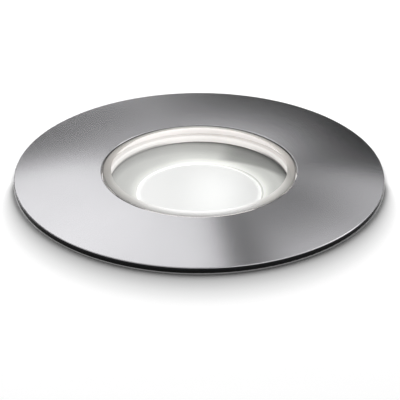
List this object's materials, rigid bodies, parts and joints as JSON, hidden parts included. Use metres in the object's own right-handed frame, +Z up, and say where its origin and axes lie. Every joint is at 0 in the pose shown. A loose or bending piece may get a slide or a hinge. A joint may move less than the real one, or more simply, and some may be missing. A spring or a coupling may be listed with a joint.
{
  "type": "recessed ground light",
  "caption": "Round recessed ground light: domed brushed steel flange, thick bevelled clear glass over a lit opal disc, finned body with spring levers, in a mounting sleeve.",
  "frame": {"origin": "centre of the ground plane, which the gasket under the flange rests on", "axes": "+Z up, out of the ground; +X towards the right spring lever"},
  "size_m": [0.11, 0.11, 0.1118],
  "materials": {
    "brushed_steel": "circular brushed",
    "black_rubber": "matte",
    "clear_glass": "polished",
    "white_silicone": "satin",
    "satin_reflector": "satin",
    "opal_plastic": "satin",
    "white_board": "solder resist",
    "led_chip": "phosphor",
    "thermal_pad": "matte",
    "die_cast": "cast, powder coated",
    "fastener_steel": "plain",
    "spring_steel": "rolled",
    "white_cup": "moulded",
    "green_board": "solder resist",
    "ferrite": "matte",
    "yellow_tape": "film",
    "capacitor_sleeve": "shrink sleeve",
    "copper_winding": "enamelled wire",
    "black_chip": "moulded",
    "terminal_green": "moulded",
    "gland_black": "moulded",
    "sleeve_black": "moulded, grained"
  },
  "bodies": {
    "sleeve": {"entry_grommet_left": "black_rubber", "entry_grommet_right": "black_rubber", "mounting_sleeve": "sleeve_black", "sleeve_base": "sleeve_black"},
    "lamp": {"capacitors": "capacitor_sleeve", "choke_core": "ferrite", "choke_winding": "copper_winding", "clip_bracket_left": "spring_steel", "clip_bracket_right": "spring_steel", "clip_bracket_screws_left": "fastener_steel", "clip_bracket_screws_right": "fastener_steel", "clip_pin_left": "fastener_steel", "clip_pin_right": "fastener_steel", "clip_spring_left": "spring_steel", "clip_spring_right": "spring_steel", "diffuser": "opal_plastic", "driver_board": "green_board", "driver_board_screws": "fastener_steel", "driver_chips": "black_chip", "driver_cup": "white_cup", "gland_body": "gland_black", "gland_insert": "black_rubber", "gland_locknut": "gland_black", "gland_nut": "gland_black", "gland_washer": "black_rubber", "glass_lens": "clear_glass", "glass_seal": "white_silicone", "ground_gasket": "black_rubber", "housing": "die_cast", "led_board": "white_board", "led_board_screws": "fastener_steel", "led_chips": "led_chip", "rear_cover": "die_cast", "rear_screws": "fastener_steel", "rear_seal": "black_rubber", "reflector": "satin_reflector", "terminal_block": "terminal_green", "terminal_screws": "fastener_steel", "thermal_pad": "thermal_pad", "transformer_core": "ferrite", "transformer_winding": "yellow_tape", "trim_flange": "brushed_steel", "trim_nuts": "fastener_steel", "trim_studs": "fastener_steel", "trim_washers": "fastener_steel", "vent_plug": "gland_black", "wire_grommet": "black_rubber"},
    "lever_right": {"clip_lever_right": "spring_steel"},
    "lever_left": {"clip_lever_left": "spring_steel"}
  },
  "joints": [
    {"name": "lamp_lift", "type": "slide", "parent": "sleeve", "child": "lamp", "axis": [0, 0, 1], "range_m": [0, 0.095]},
    {"name": "lever_right_fold", "type": "hinge", "parent": "lamp", "child": "lever_right", "pos_m": [0.03695, 0, -0.03], "axis": [0, -1, 0], "range_deg": [0, 18], "stiffness_Nm_per_rad": 0.02, "springref_deg": -68.75, "deforming": ["clip_spring_right"]},
    {"name": "lever_left_fold", "type": "hinge", "parent": "lamp", "child": "lever_left", "pos_m": [-0.03695, 0, -0.03], "axis": [0, 1, 0], "range_deg": [0, 18], "stiffness_Nm_per_rad": 0.02, "springref_deg": -68.75, "deforming": ["clip_spring_left"]}
  ]
}
